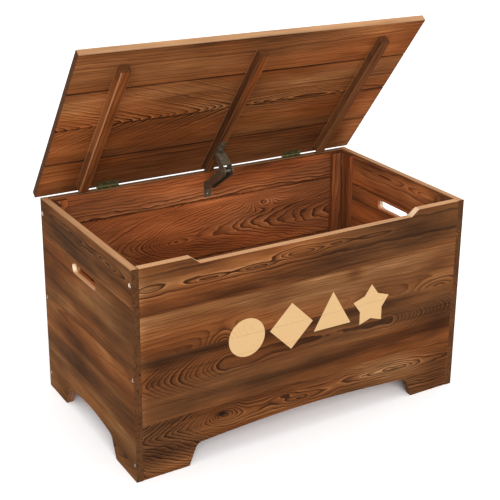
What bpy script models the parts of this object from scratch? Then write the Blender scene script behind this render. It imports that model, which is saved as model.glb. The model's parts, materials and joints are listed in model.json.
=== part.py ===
"""Wooden toy box with a hinged, stayed lid.

Boarded box on cut-out feet. Four tongue-and-groove boards make each panel, the side panels
cap the ends of the front and back panels, and bolts through the side panels hold the corners.
The lid swings on two butt hinges and is held by a folding support on its centre batten.

Axes: +X along the front, +Y from the front to the back, +Z up. The lid stands open by LID_OPEN.
"""

import math

import bmesh
import bpy
from mathutils import Matrix, Vector

# --- overall sizes, metres ---
BOX_W = 0.784
BOX_D = 0.450
BOX_H = 0.445
BOARD_T = 0.015
GAP = 0.0003
OVERRUN = 0.010  # how far a cutter runs past the face it opens

# --- tongue-and-groove edge, measured from the outer face ---
TONGUE_FROM, TONGUE_TO, TONGUE_H = 0.0055, 0.0095, 0.005
GROOVE_H = 0.006
INNER_RELIEF = 0.0013
EDGE_CHAMFER = 0.0012
SIDE_JOINTS = (0.0, 0.092, 0.229, 0.368, BOX_H)
PANEL_JOINTS = {
    "left": SIDE_JOINTS,
    "right": SIDE_JOINTS,
    "front": (0.0, 0.118, 0.256, 0.345, BOX_H),
    "back": (0.0, 0.099, 0.238, 0.377, BOX_H),
}
PANEL_ROWS = ("bottom", "lower", "upper", "top")

# --- cut-outs ---
SCOOP_DEPTH, SCOOP_HALF_TOP, SCOOP_HALF_BOTTOM = 0.0150, 0.270, 0.2505
SLOT_LENGTH, SLOT_HEIGHT, SLOT_Z = 0.118, 0.023, 0.349
FOOT_RADIUS, SHOULDER_IN, SHOULDER_DOWN = 0.008, 0.25, 0.30
FRONT_ARCH = {"foot": 0.278, "shoulder": 0.259, "spring": 0.048, "crown": 0.0595}
SIDE_ARCH = {"foot": 0.131, "shoulder": 0.109, "spring": 0.048, "crown": 0.0580}
ARCH_STEPS = 16

# --- cleats, floor ---
CLEAT_W, CLEAT_T, CLEAT_FOOT, CLEAT_DROP = 0.035, 0.011, 0.010, 0.005
FLOOR_Z, FLOOR_T, FLOOR_JOINT = 0.0865, 0.010, 0.0010
RAIL_W, RAIL_H = 0.020, 0.020

# --- side bolts ---
BOLT_ROWS = {"bottom": 0.035, "middle": 0.218, "top": 0.412}
BOLT_HEAD_R, BOLT_HEAD_L, BOLT_SHANK_R, BOLT_REACH = 0.0046, 0.0034, 0.0027, 0.036
BOLT_SINK, BOLT_CHAMFER, BOLT_HEAD_ROOM, BOLT_TIP_ROOM = 0.0050, 0.0005, 0.0006, 0.0020
SOCKET_R, SOCKET_DEPTH = 0.0024, 0.0022
HOLE_STEPS, SLOT_END_STEPS = 20, 9

# --- hinge line and lid ---
HINGE_BACK = 0.003  # how far the hinge line lies behind the back panel
AXIS_Y, AXIS_Z = BOX_D / 2 + HINGE_BACK, BOX_H + 0.0008
LID_OPEN = math.radians(52.4)
LID_W, LID_D, LID_T, LID_RISE = 0.804, 0.4522, 0.015, 0.0004
LID_BEHIND = 0.0012  # how far the closed lid reaches behind the hinge line
LID_JOINTS = (0.0, 0.112, 0.226, 0.339, LID_D)
LID_ROWS = ("front", "front_middle", "back_middle", "back")
BATTEN_W, BATTEN_H, BATTEN_FROM, BATTEN_TO, BATTEN_CHAMFER = 0.022, 0.020, 0.0205, 0.411, 0.002
BATTENS = {"left": -0.304, "centre": 0.0, "right": 0.304}

# --- butt hinges ---
HINGES = {"left": -0.2375, "right": 0.2375}
HINGE_L, LEAF_T, LEAF_OFF, LEAF_REACH = 0.050, 0.0012, 0.0003, 0.0165
KNUCKLE_R, KNUCKLE_BORE, HINGE_PIN_R, KNUCKLES = 0.0028, 0.0013, 0.0012, 5
TAB_BACK, TAB_FRONT = 0.0060, 0.0018
PIN_HEAD_R, PIN_TIP_R, PIN_HEAD_T = 0.0022, 0.0016, 0.0010
NOTCH_ROOM = 0.0006  # in the lid, past each end of a hinge pin

# --- lid support, a parallelogram of pivots in the plane across the hinge line ---
STAY_BOX = (-0.0300, -0.0300)
STAY_LID = (-0.0940, -0.0275)
STAY_PIN_R, STAY_HOLE_R, STAY_HEAD_R, STAY_HEAD_T = 0.0015, 0.0016, 0.0032, 0.0012
STAY_PLATE = 0.0015
EAR_BOX_X, ARM_X, EAR_LID_X, LINK_X = 0.0062, 0.0080, 0.0068, 0.0098
EAR_R, ARM_R_BOX, ARM_R_ELBOW, LINK_R_LID, LINK_R_ELBOW = 0.0045, 0.0080, 0.0115, 0.0050, 0.0115
BARREL_R, PIN_TIP_SHARE = 0.0040, 0.75
BOX_PLATE = {"half_width": 0.0085, "below": 0.030, "above": 0.008}
LID_PLATE = {"towards_front": 0.034, "towards_hinge": 0.020}
ARM_WEB_ENDS, LINK_WEB_ENDS = (0.011, 0.015), (0.0045, 0.010)
PLATE_STEPS, PIN_STEPS, BORE_STEPS = 9, 20, 16
SHARP_EDGE = math.radians(35)

# --- the object's frame: centred on the box round the whole open object ---
LID_TOP = LID_RISE + LID_T
LID_REAR = AXIS_Y + (LID_BEHIND - EDGE_CHAMFER) * math.cos(LID_OPEN) + LID_TOP * math.sin(LID_OPEN)
FRAME_Y = (LID_REAR - BOX_D / 2) / 2


# ---------------------------------------------------------------- materials

def material(name, colour, roughness, metallic=0.0):
    mat = bpy.data.materials.new(name)
    mat.use_nodes = True
    shader = mat.node_tree.nodes["Principled BSDF"]
    shader.inputs["Base Color"].default_value = (*colour, 1.0)
    shader.inputs["Roughness"].default_value = roughness
    shader.inputs["Metallic"].default_value = metallic
    mat.diffuse_color = (*colour, 1.0)
    return mat


# ---------------------------------------------------------------- building blocks

def new_object(name, mesh, mat=None, parent=None, matrix=None):
    obj = bpy.data.objects.new(name, mesh)
    bpy.context.collection.objects.link(obj)
    if mat:
        mesh.materials.clear()
        mesh.materials.append(mat)
    obj.parent = parent
    if matrix is not None:
        obj.matrix_local = matrix
    return obj


def empty(name, location, parent=None, rotation=(0, 0, 0)):
    obj = new_object(name, None, parent=parent)
    obj.location = location
    obj.rotation_euler = rotation
    return obj


def prism(name, outline, start, end):
    """Solid of the outline, given as (y, z) points, between two places along X."""
    bm = bmesh.new()
    rings = [[bm.verts.new((x, y, z)) for y, z in outline] for x in (start, end)]
    bm.faces.new(rings[0])
    bm.faces.new(list(reversed(rings[1])))
    count = len(outline)
    for i in range(count):
        j = (i + 1) % count
        bm.faces.new((rings[0][j], rings[0][i], rings[1][i], rings[1][j]))
    bmesh.ops.recalc_face_normals(bm, faces=bm.faces)
    mesh = bpy.data.meshes.new(name)
    bm.to_mesh(mesh)
    bm.free()
    return mesh


def circle(centre, radius, steps, start=0.0, turn=2 * math.pi):
    """Points round a circle; a full turn leaves out the repeated last point."""
    whole = abs(abs(turn) - 2 * math.pi) < 1e-9
    span = steps if whole else steps - 1
    return [
        (centre[0] + radius * math.cos(start + turn * i / span),
         centre[1] + radius * math.sin(start + turn * i / span))
        for i in range(steps)
    ]


def turned(name, profile, steps):
    """Round solid about X from (x, radius) points that start and end on the axis."""
    bm = bmesh.new()
    rings = []
    for x, radius in profile:
        if radius == 0:
            rings.append([bm.verts.new((x, 0, 0))])
        else:
            rings.append([bm.verts.new((x, y, z)) for y, z in circle((0, 0), radius, steps)])
    for low, high in zip(rings, rings[1:]):
        for i in range(steps):
            j = (i + 1) % steps
            corners = [low[i % len(low)], low[j % len(low)], high[j % len(high)], high[i % len(high)]]
            bm.faces.new(list(dict.fromkeys(corners)))
    bmesh.ops.recalc_face_normals(bm, faces=bm.faces)
    mesh = bpy.data.meshes.new(name)
    bm.to_mesh(mesh)
    bm.free()
    return mesh


def joined(name, meshes):
    """One mesh holding several separate solids, for use as a cutter."""
    bm = bmesh.new()
    for mesh in meshes:
        bm.from_mesh(mesh)
    whole = bpy.data.meshes.new(name)
    bm.to_mesh(whole)
    bm.free()
    return whole


def moved(mesh, matrix):
    mesh.transform(matrix)
    return mesh


def worked(name, mesh, steps):
    """Applies a list of (operation, mesh) Booleans to a mesh."""
    obj = new_object(name + "_blank", mesh)
    tools = []
    for operation, tool_mesh in steps:
        tool = new_object(name + "_tool", tool_mesh)
        tool.hide_render, tool.display_type = True, "WIRE"
        cut = obj.modifiers.new(operation, "BOOLEAN")
        cut.operation, cut.solver, cut.object = operation, "EXACT", tool
        tools.append(tool)
    graph = bpy.context.evaluated_depsgraph_get()
    result = bpy.data.meshes.new_from_object(obj.evaluated_get(graph))
    result.name = name
    for spare in (obj, *tools):
        bpy.data.objects.remove(spare)
    return result


def smooth(mesh):
    mesh.shade_smooth()
    mesh.set_sharp_from_angle(angle=SHARP_EDGE)
    return mesh


def box_mesh(name, low, high):
    outline = [(low[1], low[2]), (high[1], low[2]), (high[1], high[2]), (low[1], high[2])]
    return prism(name, outline, low[0], high[0])


# ---------------------------------------------------------------- boards

def board_outline(low, high, groove, tongue):
    """Section of one board as (thickness, height): thickness 0 is the outer face."""
    chamfer = EDGE_CHAMFER
    if groove:
        bottom = [
            (0, low + GAP / 2), (TONGUE_FROM - GAP, low + GAP / 2),
            (TONGUE_FROM - GAP, low + GROOVE_H), (TONGUE_TO + GAP, low + GROOVE_H),
            (TONGUE_TO + GAP, low + INNER_RELIEF), (BOARD_T, low + INNER_RELIEF),
        ]
    else:
        bottom = [(0, low + chamfer), (chamfer, low), (BOARD_T - chamfer, low), (BOARD_T, low + chamfer)]
    if tongue:
        top = [
            (BOARD_T, high - INNER_RELIEF), (TONGUE_TO, high - INNER_RELIEF),
            (TONGUE_TO, high + TONGUE_H), (TONGUE_FROM, high + TONGUE_H),
            (TONGUE_FROM, high - GAP / 2), (0, high - GAP / 2),
        ]
    else:
        top = [(BOARD_T, high - chamfer), (BOARD_T - chamfer, high), (chamfer, high), (0, high - chamfer)]
    return bottom + top


def board_mesh(name, half_length, joints, row):
    last = len(joints) - 2
    outline = board_outline(joints[row], joints[row + 1], groove=row > 0, tongue=row < last)
    return prism(name, outline, -half_length, half_length)


def across_board(name, outline):
    """Cutter through a board: the outline is (along, up), the cut runs through the thickness."""
    mesh = prism(name, [(-a, z) for a, z in outline], -BOARD_T, 2 * BOARD_T)
    return moved(mesh, Matrix.Rotation(math.radians(90), 4, "Z"))


def arch_outline(arch):
    """Cut-out between two feet: splayed foot edges, round shoulders, then a shallow curve."""
    half, shoulder, spring, crown = arch["foot"], arch["shoulder"], arch["spring"], arch["crown"]
    lean = (half - shoulder) / spring
    right = [
        (half + lean * OVERRUN, -OVERRUN),
        (shoulder + lean * FOOT_RADIUS, spring - FOOT_RADIUS),
        (shoulder - SHOULDER_IN * FOOT_RADIUS, spring - SHOULDER_DOWN * FOOT_RADIUS),
    ]
    inner = shoulder - FOOT_RADIUS
    curve = []
    for i in range(ARCH_STEPS + 1):
        along = inner - 2 * inner * i / ARCH_STEPS
        rise = math.cos(math.pi / 2 * along / inner)
        curve.append((along, spring + (crown - spring) * rise))
    left = [(-x, z) for x, z in reversed(right)]
    return right + curve + left


def scoop_outline():
    top, low = BOX_H + OVERRUN, BOX_H - SCOOP_DEPTH
    slope = (SCOOP_HALF_TOP - SCOOP_HALF_BOTTOM) / SCOOP_DEPTH
    reach = SCOOP_HALF_TOP + OVERRUN * slope
    return [(reach, top), (-reach, top), (-SCOOP_HALF_BOTTOM, low), (SCOOP_HALF_BOTTOM, low)]


def slot_outline():
    radius, straight = SLOT_HEIGHT / 2, (SLOT_LENGTH - SLOT_HEIGHT) / 2
    right = circle((straight, SLOT_Z), radius, SLOT_END_STEPS, -math.pi / 2, math.pi)
    left = circle((-straight, SLOT_Z), radius, SLOT_END_STEPS, math.pi / 2, math.pi)
    return right + left


def bolt_places():
    """Every bolt as (side, end, row): side -1 or 1 along X, end -1 or 1 along Y."""
    for side in (-1, 1):
        for end in (-1, 1):
            for row in BOLT_ROWS:
                yield side, end, row


def bolt_matrix(side, end, row):
    """Bolt frame: origin on the side panel's outer face, +X going in."""
    place = Vector((side * BOX_W / 2, end * (BOX_D - BOARD_T) / 2, BOLT_ROWS[row]))
    turn = Matrix.Rotation(math.pi, 4, "Z") if side > 0 else Matrix.Identity(4)
    return Matrix.Translation(place) @ turn


def bolt_holes(row, panel):
    """All four bolt holes of a row, in the frame of a panel."""
    head, shank, tip = BOLT_HEAD_R + BOLT_HEAD_ROOM, BOLT_SHANK_R + GAP, BOLT_REACH + BOLT_TIP_ROOM
    profile = [(-OVERRUN, 0), (-OVERRUN, head), (BOLT_SINK, head), (BOLT_SINK, shank),
               (tip, shank), (tip, 0)]
    meshes = []
    for side, end, name in bolt_places():
        if name == row:
            mesh = turned("hole", profile, HOLE_STEPS)
            meshes.append(moved(mesh, panel.inverted() @ bolt_matrix(side, end, row)))
    return joined("bolt_holes", meshes)


def panel_frame(side):
    """Panel frame: X along the boards, Y from the outer face inward, Z up."""
    turns = {"front": 0, "right": 90, "back": 180, "left": -90}
    away = BOX_D / 2 if side in ("front", "back") else BOX_W / 2
    return Matrix.Rotation(math.radians(turns[side]), 4, "Z") @ Matrix.Translation((0, -away, 0))


def leaf_pockets(up, to_board):
    """Shallow recesses for one leaf of each hinge. up is 1 in the lid and -1 in the box."""
    depth, meshes = LEAF_OFF + LEAF_T + GAP, []
    low_z, high_z = sorted((up * depth, -up * OVERRUN))
    for x in HINGES.values():
        low = (x - HINGE_L / 2 - GAP, -LEAF_REACH - GAP, low_z)
        high = (x + HINGE_L / 2 + GAP, OVERRUN, high_z)
        meshes.append(moved(box_mesh("pocket", low, high), to_board))
    return joined("leaf_pockets", meshes)


def knuckle_notches(to_board):
    """Notches in the lid's rear edge, round the knuckles and the ends of the hinge pins."""
    half = HINGE_L / 2 + GAP + PIN_HEAD_T + NOTCH_ROOM
    room, meshes = KNUCKLE_R + 2 * GAP, []
    for x in HINGES.values():
        notch = box_mesh("notch", (x - half, -room, -OVERRUN), (x + half, OVERRUN, room))
        meshes.append(moved(notch, to_board))
    return joined("knuckle_notches", meshes)


def panel(side, mat):
    frame = panel_frame(side)
    ends = side in ("left", "right")
    half = BOX_D / 2 if ends else BOX_W / 2 - BOARD_T - GAP
    bolted = {"bottom": "bottom", "lower": "middle", "top": "top"}
    for row, label in enumerate(PANEL_ROWS):
        name = f"{side}_board_{label}"
        cuts = []
        if label == "bottom":
            arch = SIDE_ARCH if ends else FRONT_ARCH
            cuts.append(("DIFFERENCE", across_board("arch", arch_outline(arch))))
        if label == "upper" and ends:
            cuts.append(("DIFFERENCE", across_board("slot", slot_outline())))
        if label == "top" and side == "front":
            cuts.append(("DIFFERENCE", across_board("scoop", scoop_outline())))
        if label == "top" and side == "back":
            hinge_line = Matrix.Translation((0, AXIS_Y, AXIS_Z))
            cuts.append(("DIFFERENCE", leaf_pockets(-1, frame.inverted() @ hinge_line)))
        if label in bolted:
            cuts.append(("DIFFERENCE", bolt_holes(bolted[label], frame)))
        mesh = board_mesh(name, half, PANEL_JOINTS[side], row)
        if cuts:
            mesh = worked(name, mesh, cuts)
        new_object(name, mesh, mat, matrix=frame)


# ---------------------------------------------------------------- inside of the box

def cleats(mat):
    """A pair of uprights in each corner: one on the front or back panel, one on the side."""
    wall_x, wall_y = BOX_W / 2 - BOARD_T - GAP, BOX_D / 2 - BOARD_T - GAP
    low, high = CLEAT_FOOT, BOX_H - CLEAT_DROP
    for end_name, end in (("front", -1), ("back", 1)):
        for side_name, side in (("left", -1), ("right", 1)):
            corner = f"{end_name}_{side_name}"
            spans = {
                "long": ((wall_x - CLEAT_W, wall_x), (wall_y - CLEAT_T, wall_y)),
                "side": ((wall_x - CLEAT_T, wall_x),
                         (wall_y - CLEAT_T - GAP - CLEAT_W, wall_y - CLEAT_T - GAP)),
            }
            for kind, (xs, ys) in spans.items():
                xs, ys = sorted(side * x for x in xs), sorted(end * y for y in ys)
                mesh = box_mesh("cleat", (xs[0], ys[0], low), (xs[1], ys[1], high))
                new_object(f"cleat_{corner}_{kind}", mesh, mat)


def floor(mat, rail_mat):
    """Two boards stepped round the corner cleats, on a rail along the front and the back."""
    wall_x, wall_y = BOX_W / 2 - BOARD_T - 2 * GAP, BOX_D / 2 - BOARD_T - 2 * GAP
    step_x = BOX_W / 2 - BOARD_T - CLEAT_T - 3 * GAP
    cleat_x = BOX_W / 2 - BOARD_T - CLEAT_W - 3 * GAP
    step_y, cleat_y = wall_y - CLEAT_T - GAP, wall_y - CLEAT_T - CLEAT_W - 2 * GAP
    half = [(wall_x, FLOOR_JOINT / 2), (wall_x, cleat_y), (step_x, cleat_y),
            (step_x, step_y), (cleat_x, step_y), (cleat_x, wall_y)]
    outline = half + [(-x, y) for x, y in reversed(half)]
    for name, end in (("front", -1), ("back", 1)):
        points = [(end * y, -x) for x, y in outline]
        mesh = prism("floor", points, FLOOR_Z, FLOOR_Z + FLOOR_T)
        upright = Matrix(((0, 0, -1, 0), (0, 1, 0, 0), (1, 0, 0, 0), (0, 0, 0, 1)))
        new_object(f"floor_board_{name}", moved(mesh, upright), mat)
        ys = sorted(end * y for y in (wall_y + GAP - RAIL_W, wall_y + GAP))
        top = FLOOR_Z - GAP
        rail = box_mesh("rail", (-cleat_x, ys[0], top - RAIL_H), (cleat_x, ys[1], top))
        new_object(f"floor_rail_{name}", rail, rail_mat)


def bolts(mat):
    """Socket-head bolts, sunk below the side panels' faces."""
    seat, head, cut = BOLT_SINK - GAP, BOLT_SINK - GAP - BOLT_HEAD_L, BOLT_CHAMFER
    profile = [(head, 0), (head, BOLT_HEAD_R - cut), (head + cut, BOLT_HEAD_R),
               (seat, BOLT_HEAD_R), (seat, BOLT_SHANK_R), (BOLT_REACH - 2 * cut, BOLT_SHANK_R),
               (BOLT_REACH, BOLT_SHANK_R - 2 * cut), (BOLT_REACH, 0)]
    blank = turned("bolt", profile, HOLE_STEPS)
    socket = prism("socket", circle((0, 0), SOCKET_R, 6), head - cut, head + SOCKET_DEPTH)
    mesh = smooth(worked("bolt", blank, [("DIFFERENCE", socket)]))
    ends, sides = {-1: "front", 1: "back"}, {-1: "left", 1: "right"}
    for side, end, row in bolt_places():
        name = f"bolt_{sides[side]}_{ends[end]}_{row}"
        new_object(name, mesh.copy(), mat, matrix=bolt_matrix(side, end, row))


# ---------------------------------------------------------------- lid

def lid(pivot, mat, batten_mat):
    """Boards and battens in the closed lid's frame, whose origin is on the hinge line."""
    frame = Matrix.Translation((0, LID_BEHIND - LID_D, LID_RISE + LID_T))
    frame = frame @ Matrix.Rotation(math.radians(-90), 4, "X")
    for row, label in enumerate(LID_ROWS):
        mesh = board_mesh("lid", LID_W / 2, LID_JOINTS, row)
        if label == "back":
            to_board = frame.inverted()
            cuts = [leaf_pockets(1, to_board), knuckle_notches(to_board)]
            mesh = worked("lid", mesh, [("DIFFERENCE", cut) for cut in cuts])
        new_object(f"lid_board_{label}", mesh, mat, pivot, frame)
    top, chamfer, half = LID_RISE - GAP, BATTEN_CHAMFER, BATTEN_W / 2
    section = [(-half, top), (-half, top - BATTEN_H + chamfer), (-half + chamfer, top - BATTEN_H),
               (half - chamfer, top - BATTEN_H), (half, top - BATTEN_H + chamfer), (half, top)]
    along_y = Matrix.Rotation(math.radians(90), 4, "Z")
    for label, x in BATTENS.items():
        mesh = moved(prism("batten", section, -BATTEN_TO, -BATTEN_FROM), along_y)
        new_object(f"lid_batten_{label}", mesh, batten_mat, pivot, Matrix.Translation((x, 0, 0)))


# ---------------------------------------------------------------- hinges

def leaf_mesh(name, up, odd):
    """One hinge leaf. up is 1 for the lid's leaf and -1 for the box's."""
    segment = HINGE_L / KNUCKLES
    near, far = sorted((up * LEAF_OFF, up * (LEAF_OFF + LEAF_T)))
    plate = box_mesh("plate", (-HINGE_L / 2, -LEAF_REACH, near),
                     (HINGE_L / 2, -KNUCKLE_R - 2 * GAP, far))
    steps = []
    for i in range(KNUCKLES):
        if i % 2 == odd:
            start = -HINGE_L / 2 + i * segment + (GAP / 2 if i else 0)
            end = -HINGE_L / 2 + (i + 1) * segment - (GAP / 2 if i < KNUCKLES - 1 else 0)
            tab = box_mesh("tab", (start, -TAB_BACK, near), (end, -TAB_FRONT, far))
            ring = prism("ring", circle((0, 0), KNUCKLE_R, PIN_STEPS), start, end)
            steps += [("UNION", tab), ("UNION", ring)]
    bore = prism("bore", circle((0, 0), KNUCKLE_BORE, BORE_STEPS), -HINGE_L, HINGE_L)
    return smooth(worked(name, plate, steps + [("DIFFERENCE", bore)]))


def hinges(axis, pivot, mat):
    for label, x in HINGES.items():
        place = Matrix.Translation((x, 0, 0))
        new_object(f"hinge_{label}_box_leaf", leaf_mesh("box_leaf", -1, 0), mat, axis, place)
        new_object(f"hinge_{label}_lid_leaf", leaf_mesh("lid_leaf", 1, 1), mat, pivot, place)
        end = HINGE_L / 2 + GAP
        tip = end + PIN_HEAD_T
        head = [(-tip, 0), (-tip, PIN_TIP_R), (-end, PIN_HEAD_R), (-end, HINGE_PIN_R)]
        tail = [(-x, r) for x, r in reversed(head)]
        pin = smooth(turned("hinge_pin", head + tail, BORE_STEPS))
        new_object(f"hinge_{label}_pin", pin, mat, axis, place)


# ---------------------------------------------------------------- lid support

def tapered(start, start_r, end, end_r):
    """Outline round two circles of different size, for a plate between two pivots."""
    line = Vector(end) - Vector(start)
    heading = math.atan2(line.y, line.x)
    lean = math.asin((start_r - end_r) / line.length)
    turn = math.pi - 2 * lean
    rounds = 2 * math.pi - turn
    first = circle(start, start_r, PLATE_STEPS, heading + math.pi / 2 - lean, rounds)
    second = circle(end, end_r, PLATE_STEPS, heading - math.pi / 2 + lean, turn)
    return first + second


def pair(outline, inner):
    """The same plate on both sides of the support's middle plane."""
    outer = inner + STAY_PLATE
    return [prism("plate", outline, -outer, -inner), prism("plate", outline, inner, outer)]


def pin_hole(centre):
    return prism("hole", circle(centre, STAY_HOLE_R, BORE_STEPS), -HINGE_L, HINGE_L)


def channel(name, start, start_r, end, end_r, inner, web_side, margins):
    """Two tapered side plates and the web that joins them along one tapering edge."""
    start, end = Vector(start), Vector(end)
    length = (end - start).length
    along = (end - start) / length
    across = Vector((-along.y, along.x)) * web_side
    places = (margins[0], length - margins[1])
    outer = [start + along * s + across * (start_r + (end_r - start_r) * s / length) for s in places]
    corners = outer + [corner - across * STAY_PLATE for corner in reversed(outer)]
    reach = inner + STAY_PLATE
    web = prism("web", [tuple(c) for c in corners], -reach, reach)
    outline = tapered(tuple(start), start_r, tuple(end), end_r)
    steps = [("UNION", plate) for plate in pair(outline, inner)]
    steps += [("DIFFERENCE", pin_hole(tuple(start))), ("DIFFERENCE", pin_hole(tuple(end)))]
    return smooth(worked(name, web, steps))


def pivot_pin(name, half, barrel=None):
    """Riveted pin: a head at each end, and a wider barrel in the middle if there is one."""
    end, radius = half + STAY_HEAD_T, STAY_HEAD_R
    left = [(-end, 0), (-end, radius * PIN_TIP_SHARE), (-half - STAY_HEAD_T / 2, radius),
            (-half, radius), (-half, STAY_PIN_R)]
    middle = [(-barrel, STAY_PIN_R), (-barrel, BARREL_R)] if barrel else []
    profile = left + middle
    profile += [(-x, r) for x, r in reversed(profile)]
    return smooth(turned(name, profile, PIN_STEPS))


def bracket(name, plate, wall, pivot_point, inner):
    """Screwed plate with two ears that reach to a pivot. wall is a point on the plate's line."""
    foot, centre = Vector(wall), Vector(pivot_point)
    out = (centre - foot).normalized()
    side = Vector((-out.y, out.x)) * EAR_R
    cap = circle(tuple(centre), EAR_R, PLATE_STEPS, math.atan2(side.y, side.x), -math.pi)
    outline = [tuple(foot - side), tuple(foot + side)] + cap
    steps = [("UNION", ear) for ear in pair(outline, inner)]
    return smooth(worked(name, plate, steps + [("DIFFERENCE", pin_hole(tuple(centre)))]))


def lid_support(axis, pivot, mat):
    """Folding support: bracket on the back panel, arm, link, bracket on the centre batten."""
    wall, half = -HINGE_BACK - BOARD_T - GAP, BOX_PLATE["half_width"]
    plate = box_mesh("plate", (-half, wall - STAY_PLATE, STAY_BOX[1] - BOX_PLATE["below"]),
                     (half, wall, STAY_BOX[1] + BOX_PLATE["above"]))
    foot = (wall - STAY_PLATE / 2, STAY_BOX[1])
    mesh = bracket("stay_box_bracket", plate, foot, STAY_BOX, EAR_BOX_X)
    new_object("stay_box_bracket", mesh, mat, axis)
    pin = pivot_pin("stay_box_pin", ARM_X + STAY_PLATE + GAP)
    new_object("stay_box_pin", pin, mat, axis, Matrix.Translation((0, *STAY_BOX)))

    under, half = LID_RISE - BATTEN_H - 2 * GAP, EAR_LID_X + STAY_PLATE
    plate = box_mesh("plate", (-half, STAY_LID[0] - LID_PLATE["towards_front"], under - STAY_PLATE),
                     (half, STAY_LID[0] + LID_PLATE["towards_hinge"], under))
    foot = (STAY_LID[0], under - STAY_PLATE / 2)
    mesh = bracket("stay_lid_bracket", plate, foot, STAY_LID, EAR_LID_X)
    new_object("stay_lid_bracket", mesh, mat, pivot)
    pin = pivot_pin("stay_lid_pin", LINK_X + STAY_PLATE + GAP)
    new_object("stay_lid_pin", pin, mat, pivot, Matrix.Translation((0, *STAY_LID)))

    arm_pivot = empty("stay_arm_pivot", (0, *STAY_BOX), axis, (-LID_OPEN, 0, 0))
    mesh = channel("stay_arm", (0, 0), ARM_R_BOX, STAY_LID, ARM_R_ELBOW, ARM_X, -1, ARM_WEB_ENDS)
    new_object("stay_arm", mesh, mat, arm_pivot)
    pin = pivot_pin("stay_elbow_pin", LINK_X + STAY_PLATE + GAP, barrel=ARM_X - GAP)
    new_object("stay_elbow_pin", pin, mat, arm_pivot, Matrix.Translation((0, *STAY_LID)))

    link_pivot = empty("stay_link_pivot", (0, *STAY_LID), pivot, (LID_OPEN, 0, 0))
    mesh = channel("stay_link", (0, 0), LINK_R_LID, STAY_BOX, LINK_R_ELBOW, LINK_X, -1, LINK_WEB_ENDS)
    new_object("stay_link", mesh, mat, link_pivot)


# ---------------------------------------------------------------- assembly

def main():
    for obj in list(bpy.data.objects):
        bpy.data.objects.remove(obj)

    stained = material("stained_softwood", (0.23, 0.085, 0.030), 0.55)
    inner = material("stained_softwood_inside", (0.20, 0.070, 0.028), 0.60)
    bronze = material("antique_bronze", (0.075, 0.055, 0.035), 0.42, 0.9)
    zinc = material("zinc_plated_steel", (0.62, 0.60, 0.57), 0.30, 1.0)

    for side in ("left", "right", "front", "back"):
        panel(side, stained)
    cleats(inner)
    floor(inner, inner)
    bolts(zinc)

    axis = empty("hinge_line", (0, AXIS_Y, AXIS_Z))
    pivot = empty("lid_pivot", (0, 0, 0), axis, (-LID_OPEN, 0, 0))
    lid(pivot, stained, inner)
    hinges(axis, pivot, bronze)
    lid_support(axis, pivot, bronze)

    for obj in bpy.data.objects:
        if obj.parent is None:
            obj.location.y -= FRAME_Y
    bpy.context.view_layer.update()


main()
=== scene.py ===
"""Looks of the wooden toy box: torched and stained softwood, dark bronze fittings, zinc bolts.

Every wood material works in board coordinates, in metres: X along the grain, Y across the board
and Z into its thickness from the outer face. On the panels of the box X is the world's X or Y and
Y is the height above the floor. On the lid X is the world's X and Y is the distance from the hinge
line. So figure that is placed on a panel is placed in the panel's own measures.
"""

import json
import math

import bmesh
import bpy
from mathutils import Matrix, Vector


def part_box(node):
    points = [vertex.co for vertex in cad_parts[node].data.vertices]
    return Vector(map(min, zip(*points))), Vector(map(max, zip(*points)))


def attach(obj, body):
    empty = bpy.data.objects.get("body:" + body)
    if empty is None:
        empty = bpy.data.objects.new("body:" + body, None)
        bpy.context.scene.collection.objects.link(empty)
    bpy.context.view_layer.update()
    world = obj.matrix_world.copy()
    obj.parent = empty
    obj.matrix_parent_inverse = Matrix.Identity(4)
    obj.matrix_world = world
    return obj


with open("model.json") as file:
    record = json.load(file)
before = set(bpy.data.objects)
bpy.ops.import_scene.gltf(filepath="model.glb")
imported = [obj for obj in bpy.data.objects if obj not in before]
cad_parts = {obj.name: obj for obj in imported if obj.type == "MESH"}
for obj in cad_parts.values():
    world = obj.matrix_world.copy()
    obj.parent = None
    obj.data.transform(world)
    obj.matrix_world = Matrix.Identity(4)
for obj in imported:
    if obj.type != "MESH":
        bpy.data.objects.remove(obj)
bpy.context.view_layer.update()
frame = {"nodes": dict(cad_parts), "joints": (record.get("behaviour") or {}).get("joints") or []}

NODES = frame["nodes"]
JOINTS = {joint["name"]: joint for joint in frame["joints"]}
HINGE = Vector(JOINTS["lid_hinge"]["pos_m"])
ARM_PIVOT = Vector(JOINTS["support_arm_pivot"]["pos_m"])
LID_OPEN = -math.radians(JOINTS["lid_hinge"]["range_deg"][0])
LID_TURN = Matrix.Rotation(-LID_OPEN, 3, "X")
LID_FRAME = Matrix.Translation(HINGE) @ LID_TURN.to_4x4()
X, Y, Z = Vector((1, 0, 0)), Vector((0, 1, 0)), Vector((0, 0, 1))

# --- colours, linear ---
STAIN = (
    (0.0, (0.0150, 0.0052, 0.0021)),
    (0.30, (0.0420, 0.0145, 0.0052)),
    (0.60, (0.1020, 0.0335, 0.0098)),
    (0.82, (0.1640, 0.0610, 0.0195)),
    (1.0, (0.2500, 0.1120, 0.0430)),
)
RING_DARK = (0.0190, 0.0075, 0.0034)
KNOT_CORE = (0.0110, 0.0050, 0.0028)
END_GRAIN = (0.0620, 0.0270, 0.0120)
PALE_EDGE = (0.5700, 0.3200, 0.1650)
PALE_GRAIN = (0.4000, 0.1950, 0.0850)
# painted highlight colour for edge faces that face along the board
PAINTED_END_HIGHLIGHT = (0.8200, 0.6300, 0.4400)
BARE_WOOD = (0.4360, 0.2850, 0.1400)

# --- tints that multiply those colours: two that drift over each board, then one for each place ---
WARM, COOL = (1.08, 0.97, 0.86), (0.92, 1.02, 1.10)
OUTSIDE = (1.08, 1.15, 1.28)
SIDES = (1.09, 1.20, 1.26)
# painted fill light: the box's inner faces, cleats and floor are brightened to make up for the shade
# inside the box
INSIDE_PAINTED_FILL = (2.20, 1.90, 2.05)
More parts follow.
